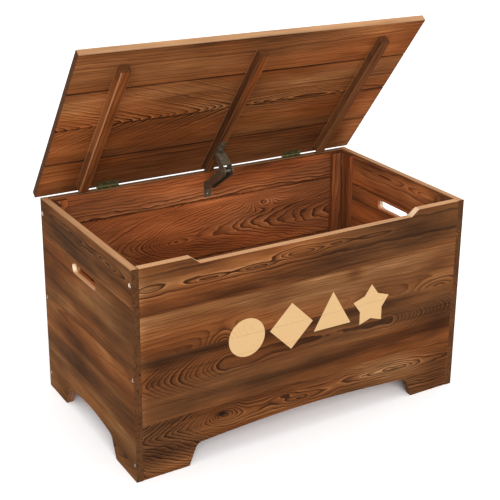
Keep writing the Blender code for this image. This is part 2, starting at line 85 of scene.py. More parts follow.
# painted light: the right side's inner face, brighter still, as if lit from the left
INSIDE_RIGHT_PAINTED_LIGHT = (4.40, 3.90, 3.90)
UNDER_LID = (1.64, 1.56, 1.58)
BATTEN = (1.30, 1.22, 1.25)

# --- scales of the wood's noises per metre: along the grain, across it and into the board ---
WANDER_SCALE = (1.3, 2.6, 2.6)
RIPPLE_SCALE = (16.0, 40.0, 40.0)
BAND_SCALE = (3.2, 10.0, 10.0)
STREAK_SCALE = (7.0, 120.0, 120.0)
FIBRE_SCALE = (15.0, 430.0, 430.0)
PORE_SCALE = (120.0, 2300.0, 2300.0)
CAST_SCALE = (2.1, 8.0, 8.0)
SPECK_SCALE = (260.0, 190.0, 420.0)
SEED_STEP = (3.17, 5.71, 7.39)  # how far each unit of a board's seed moves it through the noises

# --- how far each moves the tone of the stain, which runs from 0, black, to 1, pale ---
STREAK_TONE, FIBRE_TONE, EARLY_TONE, LATE_TONE = 0.30, 0.46, 0.24, -0.50

# --- the pith, then one growth ring, from 0 at its start to 1 at the next, and how rings differ ---
WANDER_REACH = 0.045  # how far the pith strays sideways, times the noise
PITH_BLUNT = 0.012  # rounds the tips of the figure where the pith bends
EARLY_FALL, LATE_RISE, LATE_FALL = (0.0, 0.35), (0.36, 0.92), (0.95, 1.0)
UNEVEN_RINGS = 1.3  # how far rings differ in width
WIDTH_STEP, WEIGHT_STEP = 0.37, 0.21  # steps through the two noises from one ring to the next
WEIGHT_RANGE, FAINTEST_RING = (0.35, 0.66), 0.4

# --- parts of the normal between which an end, a wide face, any flat face or an underside fades in ---
END_FACING, WIDE_FACING, FLAT_FACING = (0.72, 0.92), (0.55, 0.90), (0.78, 0.96)
SIDEWAYS_FACING, DOWN_FACING = (0.3, 0.9), (-0.2, -0.7)
END_DEPTH = 0.002  # how near its end a board's face counts as end grain
INNER_BLEND = 0.001  # how far either side of a board's middle depth its inner tint comes in

# --- stain on faces and end grain, and pale edges that are partly sanding wear and partly painted highlight; a pair is a noise's range or its gain and offset ---
FACE_RINGS, END_RINGS = 0.55, 0.5  # how far latewood darkens a face and an end
PORE_RANGE, PORE_SHARE, SPECK_RANGE, CAST_RANGE = (0.15, 0.26), 0.35, (-0.02, 0.22), (-0.12, 0.12)
JOINT_BURN_WIDTH, JOINT_BURN_WANDER = 0.0055, 0.012
END_BLOTCHES, PALE_STREAKS, PALE_FIBRES = (1.2, 0.75), (0.8, 0.95), (1.6, 0.25)
PALE_FADE, PALE_REST = 0.003, 0.03  # how soon a pale edge darkens inwards, partly stain and partly painted shade deeper in a recess, and what stays pale
UNDERSIDE_PAINTED_SHADE = -0.9  # painted shade: how much less pale an upper edge is where it faces down

# --- gloss and relief of the wood ---
WOOD_ROUGHNESS, ROUGH_FIBRE, ROUGH_RINGS, WOOD_SPECULAR = 0.62, 0.20, -0.10, 0.01
RELIEF_RINGS, RELIEF_FIBRE, RELIEF_PORES = 0.55, 0.35, -0.15
WOOD_BUMP_STRENGTH, WOOD_BUMP_HEIGHT = 0.45, 0.0003

# --- plated metal ---
BLOTCH_SCALE, SCRATCH_SCALE = (160.0, 160.0, 160.0), (90.0, 2600.0, 700.0)
PATCH_SCRATCHES, PATCH_RANGE = 0.5, (0.02, 0.34)
ROUGH_SCRATCHES, ROUGH_BLOTCHES = 0.10, 0.25
METAL_BUMP_STRENGTH, METAL_BUMP_HEIGHT = 0.25, 0.0001

# --- decoration on the front: pale shapes left bare of stain ---
DECORATION_Z, DECORATION_X = 0.250, (-0.148, -0.044, 0.056, 0.154)
DISC_R, DIAMOND_HALF, TRIANGLE_IN, STAR_R = 0.041, 0.051, 0.0265, 0.048
SHAPE_EDGE = 0.0003  # softness of the shapes' outlines, each way
SHAPE_GRAIN, SHAPE_RELIEF = (1.1, 0.04), -0.5

# --- arrises, screws and lights ---
ARRIS_PANEL, ARRIS_BATTEN, ARRIS_ANGLE = 0.0003, 0.0008, 40.0
SCREW_R, SCREW_DOME, SCREW_SHANK, SCREW_DEPTH = 0.0027, 0.0004, 0.0011, 0.0012
DOME_STEPS, SCREW_WAIST = (0.0, 0.35, 0.75, 1.15), (0.55, -0.8)
CROSS_ARM, CROSS_DEPTH, CROSS_REACH = 0.0006, 0.0012, 0.62
SCREW_STEPS, SCREW_SHARP = 24, 35.0
HINGE_SCREWS, HINGE_SCREW_IN, HINGE_SCREW_SINK = (-0.018, 0.0, 0.018), 0.0105, 0.0005
BOX_BRACKET_SCREWS, BRACKET_PLATE = (-0.0125, -0.0235), 0.0015
LID_BRACKET_SCREWS, LID_BRACKET_FACE = (-0.1060, -0.1220), -0.0217
KEY_LIGHT = {"azimuth": -20.0, "elevation": 25.0, "spread": 40.0, "strength": 2.7}
SKY_STRENGTH, FLOOR_REACH, FLOOR_GREY, FLOOR_ROUGHNESS = 1.08, 30.0, 0.98, 0.9

# --- camera, in degrees, millimetres and metres; its place is measured from the box's front ---
CAMERA_YAW, CAMERA_PITCH, CAMERA_ROLL = 33.1188, -19.4516, 1.3184
CAMERA_LENS, SENSOR_WIDTH, CAMERA_SHIFT = 81.085, 36.0, (-0.09, -0.10)
CAMERA_X, CAMERA_TO_FRONT, CAMERA_Z = -1.1654, 1.7206, 1.2444


# ---------------------------------------------------------------- node trees

class Tree:
    """Short calls that build a node tree. Each returns the socket that it computes."""

    def __init__(self, tree):
        self.nodes, self.links = tree.nodes, tree.links

    def put(self, socket, value):
        if isinstance(value, bpy.types.NodeSocket):
            self.links.new(value, socket)
        elif value is not None:
            socket.default_value = value

    def node(self, kind, inputs, **settings):
        node = self.nodes.new(kind)
        for key, value in settings.items():
            setattr(node, key, value)
        for key, value in inputs.items():
            self.put(node.inputs[key], value)
        return node

    def math(self, operation, *values, clamp=False):
        inputs = dict(enumerate(values))
        return self.node("ShaderNodeMath", inputs, operation=operation, use_clamp=clamp).outputs[0]

    def vector(self, operation, *values):
        node = self.node("ShaderNodeVectorMath", dict(enumerate(values)), operation=operation)
        return node.outputs["Value" if operation in ("DOT_PRODUCT", "LENGTH") else "Vector"]

    def join(self, x, y, z=0.0):
        return self.node("ShaderNodeCombineXYZ", {0: x, 1: y, 2: z}).outputs[0]

    def split(self, vector):
        return self.node("ShaderNodeSeparateXYZ", {0: vector}).outputs

    def ramp(self, value, low, high, to_low=0.0, to_high=1.0):
        """Smooth step from to_low to to_high as value goes from low to high."""
        inputs = {0: value, 1: low, 2: high, 3: to_low, 4: to_high}
        node = self.node("ShaderNodeMapRange", inputs, interpolation_type="SMOOTHSTEP")
        return node.outputs[0]

    def noise(self, vector, detail=1.0, roughness=0.5):
        """Noise about zero, within about a quarter each way."""
        inputs = {"Vector": vector, "Scale": 1.0, "Detail": detail, "Roughness": roughness}
        value = self.node("ShaderNodeTexNoise", inputs).outputs[0]
        return self.math("SUBTRACT", value, 0.5)

    def noise_line(self, value, detail=0.0):
        inputs = {"W": value, "Scale": 1.0, "Detail": detail}
        return self.node("ShaderNodeTexNoise", inputs, noise_dimensions="1D").outputs[0]

    def mix(self, factor, first, second, blend="MIX"):
        inputs = {0: factor, 6: first, 7: second}
        return self.node("ShaderNodeMix", inputs, data_type="RGBA", blend_type=blend).outputs[2]

    def colours(self, factor, stops):
        node = self.node("ShaderNodeValToRGB", {0: factor})
        ramp = node.color_ramp
        for i, (place, colour) in enumerate(stops):
            stop = ramp.elements[i] if i < 2 else ramp.elements.new(place)
            stop.position, stop.color = place, (*colour, 1.0)
        return node.outputs[0]

    def group(self, group, inputs):
        node = self.nodes.new("ShaderNodeGroup")
        node.node_tree = group
        for key, value in inputs.items():
            self.put(node.inputs[key], value)
        return node.outputs


def new_group(name, inputs, outputs):
    """A node group with its tree helper, its input sockets and its output node."""
    group = bpy.data.node_groups.new(name, "ShaderNodeTree")
    kinds = {"f": "NodeSocketFloat", "v": "NodeSocketVector", "c": "NodeSocketColor"}
    for label, kind in inputs.items():
        group.interface.new_socket(label, in_out="INPUT", socket_type=kinds[kind])
    for label, kind in outputs.items():
        group.interface.new_socket(label, in_out="OUTPUT", socket_type=kinds[kind])
    tree = Tree(group)
    return group, tree, tree.node("NodeGroupInput", {}).outputs, tree.node("NodeGroupOutput", {})


def rgba(colour):
    return (*colour, 1.0)


def new_material(name):
    """A material with its tree helper and its shader."""
    mat = bpy.data.materials.new(name)
    mat.use_nodes = True
    return mat, Tree(mat.node_tree), mat.node_tree.nodes["Principled BSDF"]


def add_object(name, data):
    obj = bpy.data.objects.new(name, data)
    bpy.context.collection.objects.link(obj)
    return obj


def spot_group():
    """A soft ellipse on the board's face: 1 in its middle, falling away with distance."""
    kinds = {"Place": "v", "Centre": "v", "Size": "v"}
    group, tree, given, result = new_group("spot", kinds, {"Value": "f"})
    away = tree.vector("DIVIDE", tree.vector("SUBTRACT", given["Place"], given["Centre"]), given["Size"])
    squared = tree.vector("DOT_PRODUCT", away, away)
    tree.put(result.inputs["Value"], tree.math("EXPONENT", tree.math("MULTIPLY", squared, -1.0)))
    return group


def grow_rings(tree, given, shifted, along, across, depth):
    """Growth rings as a solid round a bowed pith: dark latewood and pale earlywood, 0 to 1."""
    wander = tree.noise(tree.vector("MULTIPLY", shifted, WANDER_SCALE))
    wandered = tree.math("MULTIPLY_ADD", wander, WANDER_REACH, across)
    off_across = tree.math("SUBTRACT", wandered, given["Pith Across"])
    off_depth = tree.math("SUBTRACT", depth, given["Pith Depth"])
    radius = tree.vector("LENGTH", tree.join(off_across, off_depth))
    from_crown = tree.math("SUBTRACT", along, given["Crown"])
    past_flat = tree.math("SUBTRACT", tree.math("ABSOLUTE", from_crown), given["Flat"])
    bow = tree.vector("LENGTH", tree.join(tree.math("MAXIMUM", past_flat, 0.0), PITH_BLUNT))
    field = tree.math("MULTIPLY_ADD", bow, given["Taper"], radius)
    field = tree.math("MULTIPLY_ADD", from_crown, given["Skew"], field)
    rings = tree.math("ADD", tree.math("DIVIDE", field, given["Ring Width"]), given["Figure"])
    ripple = tree.noise(tree.vector("MULTIPLY", shifted, RIPPLE_SCALE), 2.0)
    rings = tree.math("MULTIPLY_ADD", ripple, given["Ripple"], rings)
    uneven = tree.noise_line(tree.math("MULTIPLY_ADD", rings, WIDTH_STEP, given["Seed"]))
    rings = tree.math("MULTIPLY_ADD", uneven, UNEVEN_RINGS, rings)
    phase = tree.math("FRACT", rings)
    late = tree.math("MULTIPLY", tree.ramp(phase, *LATE_RISE), tree.ramp(phase, *LATE_FALL, 1.0, 0.0))
    late = tree.math("MULTIPLY", late, late)
    weight = tree.noise_line(tree.math("MULTIPLY_ADD", rings, WEIGHT_STEP, given["Seed"]))
    weight = tree.ramp(weight, *WEIGHT_RANGE, FAINTEST_RING, 1.0)
    strength = tree.math("MULTIPLY", weight, given["Lines"])
    early = tree.ramp(phase, *EARLY_FALL, 1.0, 0.0)
    return tree.math("MULTIPLY", late, strength), tree.math("MULTIPLY", early, strength)


def board_group():
    """Sawn and stained softwood, whose faces, edges and ends agree."""
    kinds = {"Place": "v", "Facing": "v", "Tint": "c", "Inner Tint": "c"}
    kinds.update(dict.fromkeys((
        "Seed", "Pith Across", "Pith Depth", "Crown", "Flat", "Taper", "Skew", "Ring Width", "Ripple",
        "Figure", "Lines", "Knots", "Tone", "Mottle", "Low Edge", "High Edge", "Low End", "High End",
        "Thickness", "Joint Burn", "Pale Low", "Pale High", "Pale To", "Arris Wear And Highlight"), "f"))
    outputs = {"Color": "c", "Roughness": "f", "Height": "f", "Line": "f"}
    group, tree, given, result = new_group("sawn_board", kinds, outputs)
    place, seed = given["Place"], given["Seed"]
    along, across, depth = tree.split(place)
    shifted = tree.vector("MULTIPLY_ADD", seed, SEED_STEP, place)
    line, early = grow_rings(tree, given, shifted, along, across, depth)

    # which way the surface faces: wide face, edge, end grain or the arris between them
    facing = tree.split(tree.vector("ABSOLUTE", given["Facing"]))
    to_low_end = tree.math("SUBTRACT", along, given["Low End"])
    to_high_end = tree.math("SUBTRACT", given["High End"], along)
    at_end = tree.math("LESS_THAN", tree.math("MINIMUM", to_low_end, to_high_end), END_DEPTH)
    end = tree.math("MULTIPLY", tree.ramp(facing[0], *END_FACING), at_end)
    not_end = tree.math("SUBTRACT", 1.0, end)
    edge = tree.math("MULTIPLY", tree.ramp(facing[2], *WIDE_FACING, 1.0, 0.0), not_end)
    sharpest = tree.math("MAXIMUM", tree.math("MAXIMUM", facing[0], facing[1]), facing[2])
    arris = tree.ramp(sharpest, *FLAT_FACING, 1.0, 0.0)

    # tone of the stain and the torch: broad bands, streaks and fibres along the grain
    bands = tree.noise(tree.vector("MULTIPLY", shifted, BAND_SCALE), 3.0)
    streaks = tree.noise(tree.vector("MULTIPLY", shifted, STREAK_SCALE), 2.0)
    fibre = tree.noise(tree.vector("MULTIPLY", shifted, FIBRE_SCALE), 3.0, 0.6)
    tone = tree.math("MULTIPLY_ADD", bands, given["Mottle"], given["Tone"])
    tone = tree.math("MULTIPLY_ADD", streaks, STREAK_TONE, tone)
    tone = tree.math("MULTIPLY_ADD", fibre, FIBRE_TONE, tone)
    tone = tree.math("MULTIPLY_ADD", early, EARLY_TONE, tone)
    tone = tree.math("MULTIPLY_ADD", line, LATE_TONE, tone, clamp=True)
    colour = tree.colours(tone, STAIN)
    colour = tree.mix(tree.math("MULTIPLY", line, FACE_RINGS), colour, rgba(RING_DARK))
    pores = tree.noise(tree.vector("MULTIPLY", shifted, PORE_SCALE))
    colour = tree.mix(tree.ramp(pores, *PORE_RANGE, 0.0, PORE_SHARE), colour, rgba(KNOT_CORE))
    colour = tree.mix(given["Knots"], colour, rgba(KNOT_CORE))
    half = tree.math("MULTIPLY", given["Thickness"], 0.5)
    inner = tree.ramp(tree.math("SUBTRACT", depth, half), -INNER_BLEND, INNER_BLEND)
    # inner faces take the inner tint, which inside the box is painted fill light
    tint = tree.mix(tree.math("MULTIPLY", inner, not_end), given["Tint"], given["Inner Tint"])
    colour = tree.mix(1.0, colour, tint, "MULTIPLY")
    cast = tree.noise(tree.vector("MULTIPLY", shifted, CAST_SCALE), 1.0)
    cast = tree.mix(tree.ramp(cast, *CAST_RANGE), rgba(WARM), rgba(COOL))
    colour = tree.mix(1.0, colour, cast, "MULTIPLY")

    # torch burn beside the joints on the inner face
    to_low = tree.math("SUBTRACT", across, given["Low Edge"])
    to_high = tree.math("SUBTRACT", given["High Edge"], across)
    to_joint = tree.math("MINIMUM", to_low, to_high)
    to_joint = tree.math("MULTIPLY_ADD", bands, JOINT_BURN_WANDER, to_joint)
    burn = tree.ramp(to_joint, 0.0, JOINT_BURN_WIDTH, 1.0, 0.0)
    burn = tree.math("MULTIPLY", burn, given["Joint Burn"])
    colour = tree.mix(tree.math("MULTIPLY", burn, inner), colour, rgba(RING_DARK))

    # end grain, then pale edges: partly sanding wear, partly painted highlight on the edges that face the
    # light, with painted shade where they face down or lie deeper in
    end_colour = tree.mix(tree.math("MULTIPLY", line, END_RINGS), rgba(END_GRAIN), rgba(RING_DARK))
    specks = tree.noise(tree.vector("MULTIPLY", place, SPECK_SCALE), 2.0)
    end_colour = tree.mix(tree.ramp(specks, *SPECK_RANGE), end_colour, rgba(RING_DARK))
    end_share = tree.math("MULTIPLY_ADD", bands, *END_BLOTCHES, clamp=True)
    colour = tree.mix(tree.math("MULTIPLY", end, end_share), colour, end_colour)
    upper = tree.math("GREATER_THAN", to_low, to_high)
    underside = tree.ramp(tree.split(given["Facing"])[1], *DOWN_FACING)
    pale = tree.math("MULTIPLY", upper, given["Pale High"])
    pale = tree.math("MULTIPLY_ADD", tree.math("SUBTRACT", 1.0, upper), given["Pale Low"], pale)
    pale = tree.math("MULTIPLY", pale, edge)
    pale = tree.math("MULTIPLY", pale, tree.math("MULTIPLY_ADD", streaks, *PALE_STREAKS))
    # painted shade: an upper edge that faces down, such as the top of a hand slot, is kept dark
    shaded = tree.math("MULTIPLY", underside, upper)
    pale = tree.math("MULTIPLY", pale, tree.math("MULTIPLY_ADD", shaded, UNDERSIDE_PAINTED_SHADE, 1.0))
    # paleness fades with depth: partly stain, partly painted shade deeper inside a recess
    past_pale = tree.math("SUBTRACT", depth, given["Pale To"])
    pale = tree.math("MULTIPLY", pale, tree.ramp(past_pale, 0.0, PALE_FADE, 1.0, PALE_REST))
    # arrises: wear and a painted highlight line where a rounded edge would catch the light
    pale = tree.math("MAXIMUM", pale, tree.math("MULTIPLY", arris, given["Arris Wear And Highlight"]), clamp=True)
    edge_grain = tree.math("MULTIPLY_ADD", fibre, *PALE_FIBRES, clamp=True)
    edge_colour = tree.mix(edge_grain, rgba(PALE_EDGE), rgba(PALE_GRAIN))
    # painted highlight: edge faces that face along the board, like the hand slots' ends, take a paler
    # colour as if lit by the key light
    edge_colour = tree.mix(tree.ramp(facing[0], *SIDEWAYS_FACING), edge_colour, rgba(PAINTED_END_HIGHLIGHT))
    colour = tree.mix(pale, colour, edge_colour)

    rough = tree.math("MULTIPLY_ADD", line, ROUGH_RINGS, WOOD_ROUGHNESS)
    rough = tree.math("MULTIPLY_ADD", fibre, ROUGH_FIBRE, rough)
    height = tree.math("MULTIPLY", fibre, RELIEF_FIBRE)
    height = tree.math("MULTIPLY_ADD", line, RELIEF_RINGS, height)
    height = tree.math("MULTIPLY_ADD", pores, RELIEF_PORES, height)
    for label, value in (("Color", colour), ("Roughness", rough), ("Height", height), ("Line", line)):
        tree.put(result.inputs[label], value)
    return group


SPOT, BOARD = spot_group(), board_group()


# ---------------------------------------------------------------- wood

def board_axes(node):
    """Directions along, across and into a board, and the point that its measures start from."""
    if node.startswith("lid_"):
        axes = (-Y, X, -Z) if "batten" in node else (X, -Y, -Z)
        return [LID_TURN @ axis for axis in axes], HINGE
    low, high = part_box(node)
    if node.startswith("cleat"):
        wide = X if node.endswith("long") else Y
        return [Z, wide, wide.cross(Z)], (low + high) / 2
    if node.startswith("floor_board"):
        return [X, Y, -Z], Vector((0, 0, high.z))
    inward = {"front": Y, "back": -Y, "left": X, "right": -X, "floor": Y}[node.split("_")[0]]
    lengthways = Y if abs(inward.x) > 0.5 else X
    return [lengthways, Z, inward], Vector((0, 0, 0))


def extent(node, axis, origin):
    reach = [(vertex.co - origin).dot(axis) for vertex in NODES[node].data.vertices]
    return min(reach), max(reach)


def spots(tree, place, marks, base=0.0):
    """Base plus soft ellipses, each (along, across, half length, half width, amount)."""
    total = base
    for along, across, length, width, amount in marks:
        inputs = {"Place": place, "Centre": (along, across, 0.0), "Size": (length, width, 1.0e3)}
        total = tree.math("MULTIPLY_ADD", tree.group(SPOT, inputs)[0], amount, total)
    return total


def decoration(tree, place):
    """Mask of the four shapes left bare on the front: disc, diamond, triangle and star."""
    def inside(distance, limit):
        return tree.ramp(distance, limit - SHAPE_EDGE, limit + SHAPE_EDGE, 1.0, 0.0)

    flat = []
    for x in DECORATION_X:
        offset = tree.vector("SUBTRACT", place, (x, DECORATION_Z, 0.0))
        flat.append(tree.vector("MULTIPLY", offset, (1.0, 1.0, 0.0)))
    masks = [inside(tree.vector("LENGTH", flat[0]), DISC_R)]
    size = tree.split(tree.vector("ABSOLUTE", flat[1]))
    masks.append(inside(tree.math("ADD", size[0], size[1]), DIAMOND_HALF))
    side = tree.split(flat[2])
    lean = math.radians(60)
    across = tree.math("MULTIPLY", tree.math("ABSOLUTE", side[0]), math.sin(lean))
    slant = tree.math("MULTIPLY_ADD", side[1], math.cos(lean), across)
    base = tree.math("MULTIPLY", side[1], -1.0)
    masks.append(inside(tree.math("MAXIMUM", slant, base), TRIANGLE_IN))
    point = tree.split(flat[3])
    tip = tree.math("PINGPONG", tree.math("ARCTAN2", point[0], point[1]), math.pi / 5)
    notch = math.radians(54)
    turned = tree.math("COSINE", tree.math("SUBTRACT", tip, notch))
    edge = tree.math("MULTIPLY", tree.vector("LENGTH", flat[3]), turned)
    masks.append(inside(edge, STAR_R * math.cos(notch)))
    total = masks[0]
    for mask in masks[1:]:
        total = tree.math("MAXIMUM", total, mask)
    return total


def wood(node, seed, pith=(0.0, -0.03), crown=0.0, flat=0.0, taper=0.03, skew=0.0, ring=0.007,
         ripple=1.2, lines=0.35, lined=(), figure=(), knots=(), tone=0.60, scorch=(), mottle=1.0,
         tint=OUTSIDE, inside=None, burn=0.0, pale=(0.0, 0.0), pale_to=1.0, worn=0.25,
         decorated=False):
    """Gives a board its own wood.

    pith is where the pith lay, across the board and in depth; crown is where along the board the
    rings lie nearest to it, over flat each way; taper and skew are how fast they leave it. figure
    bends the rings, by ring counts; lined and knots darken, and scorch lightens or darkens. burn
    darkens the inner face at the joints. pale is how pale the low and the high edge are, down to
    the depth pale_to, partly sanding wear and partly painted highlight and shade; worn is the same
    for the arrises, wear with a painted highlight line.
    """
    axes, origin = board_axes(node)
    low, high = extent(node, axes[1], origin)
    outer, inner = extent(node, axes[2], origin)
    ends = extent(node, axes[0], origin)
    mat, tree, shader = new_material("wood_" + node)
    coords = tree.node("ShaderNodeTexCoord", {}).outputs
    start = Vector((origin.dot(axes[0]), origin.dot(axes[1]), origin.dot(axes[2]) + outer))
    parts = [tree.vector("DOT_PRODUCT", coords["Object"], axis) for axis in axes]
    place = tree.vector("SUBTRACT", tree.join(*parts), start)
    facing = tree.join(*[tree.vector("DOT_PRODUCT", coords["Normal"], axis) for axis in axes])
    board = tree.group(BOARD, {
        "Place": place, "Facing": facing, "Seed": seed, "Pith Across": pith[0], "Pith Depth": pith[1],
        "Crown": crown, "Flat": flat, "Taper": taper, "Skew": skew, "Ring Width": ring,
        "Ripple": ripple, "Figure": spots(tree, place, figure), "Mottle": mottle,
        "Lines": spots(tree, place, lined, lines), "Knots": spots(tree, place, knots),
        "Tone": spots(tree, place, scorch, tone), "Tint": rgba(tint),
        "Inner Tint": rgba(inside or tint), "Low Edge": low, "High Edge": high,
        "Low End": ends[0], "High End": ends[1], "Thickness": inner - outer, "Joint Burn": burn,
        "Pale Low": pale[0], "Pale High": pale[1], "Pale To": pale_to, "Arris Wear And Highlight": worn,
    })
    colour, height = board["Color"], board["Height"]
    if decorated:
        mask = decoration(tree, place)
        grain = tree.math("MULTIPLY_ADD", board["Height"], *SHAPE_GRAIN, clamp=True)
        bare = tree.mix(grain, rgba(BARE_WOOD), rgba(PALE_GRAIN))
        colour = tree.mix(mask, colour, bare)
        height = tree.math("MULTIPLY_ADD", mask, SHAPE_RELIEF, height)
    tree.put(shader.inputs["Base Color"], colour)
    tree.put(shader.inputs["Roughness"], board["Roughness"])
    shader.inputs["Specular IOR Level"].default_value = WOOD_SPECULAR
    inputs = {"Strength": WOOD_BUMP_STRENGTH, "Distance": WOOD_BUMP_HEIGHT, "Height": height}
    tree.put(shader.inputs["Normal"], tree.node("ShaderNodeBump", inputs).outputs[0])
    dress(node, mat)


def dress(node, mat):
    slots = NODES[node].data.materials
    slots.clear()
    slots.append(mat)


def soften(node, width):
    """Breaks the arrises of a CAD node."""
    bevel = NODES[node].modifiers.new("arris", "BEVEL")
    bevel.width, bevel.segments, bevel.limit_method = width, 2, "ANGLE"
    bevel.angle_limit = math.radians(ARRIS_ANGLE)
    bevel.harden_normals = True


def front_wood():
    wood("front_board_top", 1.3, pith=(0.401, -0.012), ring=0.0105, taper=0.004, lines=0.35,
         lined=[(-0.17, 0.400, 0.24, 0.016, 0.75), (-0.36, 0.382, 0.04, 0.010, 0.4)],
         figure=[(-0.355, 0.398, 0.028, 0.008, -1.2), (-0.232, 0.395, 0.045, 0.0065, -2.2),
                 (-0.127, 0.396, 0.040, 0.0060, -2.6), (-0.025, 0.406, 0.050, 0.0095, -3.0),
                 (0.065, 0.409, 0.028, 0.006, -1.2), (0.16, 0.409, 0.040, 0.006, -0.8)],
         knots=[(-0.127, 0.396, 0.034, 0.0030, 0.75), (-0.020, 0.406, 0.022, 0.0022, 0.50),
                (-0.225, 0.3955, 0.022, 0.0020, 0.60), (-0.355, 0.398, 0.014, 0.0022, 0.60)],
         tone=0.57,
         scorch=[(-0.16, 0.360, 0.15, 0.016, -0.26), (0.31, 0.40, 0.11, 0.06, -0.24),
                 (-0.385, 0.400, 0.018, 0.06, 0.26), (-0.28, 0.425, 0.05, 0.02, -0.14),
                 (0.10, 0.372, 0.30, 0.014, -0.08), (0.16, 0.404, 0.12, 0.012, 0.08),
                 (-0.30, 0.368, 0.05, 0.012, 0.10)],
         pale=(0.0, 1.0))
    wood("front_board_upper", 2.1, pith=(0.258, -0.026), ring=0.0062, taper=0.020, lines=0.22,
         decorated=True,
         lined=[(-0.32, 0.283, 0.10, 0.018, 0.35), (-0.19, 0.268, 0.07, 0.022, 0.80),
                (0.31, 0.270, 0.14, 0.020, 0.70)],
         figure=[(-0.200, 0.257, 0.040, 0.030, 5.5), (0.335, 0.257, 0.075, 0.022, 5.0),
                 (0.150, 0.258, 0.050, 0.018, 3.5)],
         tone=0.62,
         scorch=[(0.035, 0.337, 0.055, 0.008, 0.13), (0.195, 0.333, 0.075, 0.011, 0.14),
                 (-0.22, 0.336, 0.14, 0.010, 0.16), (0.108, 0.334, 0.018, 0.016, -0.26),
                 (-0.05, 0.318, 0.10, 0.008, -0.12), (0.33, 0.31, 0.07, 0.020, -0.20),
                 (-0.385, 0.30, 0.018, 0.05, 0.22), (-0.30, 0.300, 0.09, 0.020, 0.08)])
    wood("front_board_lower", 3.7, pith=(0.203, -0.019), crown=0.005, flat=0.20, taper=0.46, skew=0.02,
         ring=0.0056, ripple=1.3, lines=0.08, decorated=True,
         lined=[(-0.27, 0.204, 0.13, 0.026, 0.90), (0.0, 0.212, 0.20, 0.020, 0.45),
                (0.24, 0.188, 0.10, 0.020, 0.80), (0.37, 0.205, 0.03, 0.02, 0.4)],
         figure=[(0.24, 0.180, 0.12, 0.030, -1.5)],
         tone=0.58,
         scorch=[(-0.24, 0.247, 0.22, 0.012, -0.34), (-0.335, 0.232, 0.030, 0.020, -0.14),
                 (0.14, 0.246, 0.16, 0.009, -0.26), (0.02, 0.148, 0.18, 0.010, -0.24),
                 (0.26, 0.158, 0.12, 0.010, -0.22), (0.34, 0.19, 0.05, 0.05, -0.16),
                 (-0.25, 0.205, 0.11, 0.022, 0.14), (0.13, 0.181, 0.13, 0.010, 0.20),
                 (-0.385, 0.19, 0.018, 0.07, 0.24), (-0.22, 0.168, 0.12, 0.010, 0.14),
                 (-0.355, 0.205, 0.02, 0.008, -0.20)])
    wood("front_board_bottom", 4.4, pith=(0.084, -0.006), crown=-0.20, taper=0.24, skew=-0.22, ring=0.0072,
         ripple=2.6, lines=0.80,
         figure=[(-0.204, 0.099, 0.040, 0.024, -4.4), (-0.055, 0.097, 0.036, 0.009, -2.0),
                 (-0.020, 0.079, 0.040, 0.009, -2.0), (0.205, 0.090, 0.090, 0.018, -3.0),
                 (0.150, 0.102, 0.030, 0.009, 1.6), (0.255, 0.078, 0.040, 0.010, -1.8)],
         knots=[(-0.205, 0.097, 0.0125, 0.0058, 1.2), (-0.055, 0.096, 0.014, 0.0026, 0.7),
                (-0.020, 0.079, 0.022, 0.0026, 0.7), (0.205, 0.097, 0.028, 0.0026, 0.60),
                (0.225, 0.079, 0.028, 0.0026, 0.60)],
         tone=0.57,
         scorch=[(-0.34, 0.108, 0.07, 0.014, -0.12), (-0.33, 0.050, 0.06, 0.014, -0.16),
                 (-0.30, 0.016, 0.07, 0.012, 0.26), (0.345, 0.06, 0.05, 0.06, -0.22),
                 (0.18, 0.085, 0.10, 0.018, 0.14), (-0.19, 0.072, 0.08, 0.010, 0.16),
                 (-0.385, 0.09, 0.014, 0.03, 0.14), (-0.08, 0.112, 0.12, 0.006, -0.16)])


def back_wood():
    wood("back_board_top", 6.2, pith=(0.360, 0.040), crown=0.1, taper=0.02, ring=0.0072, ripple=2.0,
         lines=0.45, lined=[(0.05, 0.386, 0.35, 0.010, 0.5)], inside=INSIDE_PAINTED_FILL, burn=0.75, tone=0.58,
         scorch=[(0.28, 0.425, 0.05, 0.03, 0.12), (0.06, 0.43, 0.10, 0.014, -0.12)], pale=(0.0, 0.25))
    wood("back_board_upper", 7.9, pith=(0.293, 0.036), crown=-0.09, taper=0.11, skew=-0.29, ring=0.0062,
         ripple=2.2, lines=0.50,
         lined=[(0.0, 0.290, 0.40, 0.030, 0.40), (0.10, 0.355, 0.20, 0.024, 0.45)],
         figure=[(-0.090, 0.288, 0.045, 0.014, -4.5), (0.148, 0.351, 0.034, 0.016, -6.5),
                 (-0.110, 0.378, 0.065, 0.018, 4.0), (0.020, 0.378, 0.050, 0.013, 3.0),
                 (0.250, 0.378, 0.060, 0.020, 3.0)],
         knots=[(0.148, 0.350, 0.006, 0.003, 0.7), (-0.02, 0.292, 0.014, 0.003, 0.4)],
         inside=INSIDE_PAINTED_FILL, burn=0.70, tone=0.58,
         scorch=[(-0.02, 0.370, 0.12, 0.010, 0.20), (-0.05, 0.325, 0.20, 0.012, 0.08),
                 (0.20, 0.325, 0.14, 0.010, -0.12)])
    wood("back_board_lower", 9.3, pith=(0.180, 0.030), crown=0.12, taper=0.20, ring=0.0065, ripple=1.8,
         lines=0.5, inside=INSIDE_PAINTED_FILL, burn=0.65, tone=0.56)
    wood("back_board_bottom", 11.1, pith=(0.060, -0.020), crown=-0.12, taper=0.25, ring=0.0062, ripple=1.8,
         lines=0.6, figure=[(0.14, 0.075, 0.05, 0.018, -5.0)], knots=[(0.14, 0.075, 0.010, 0.005, 0.9)],
         inside=INSIDE_PAINTED_FILL, burn=0.4, tone=0.54)


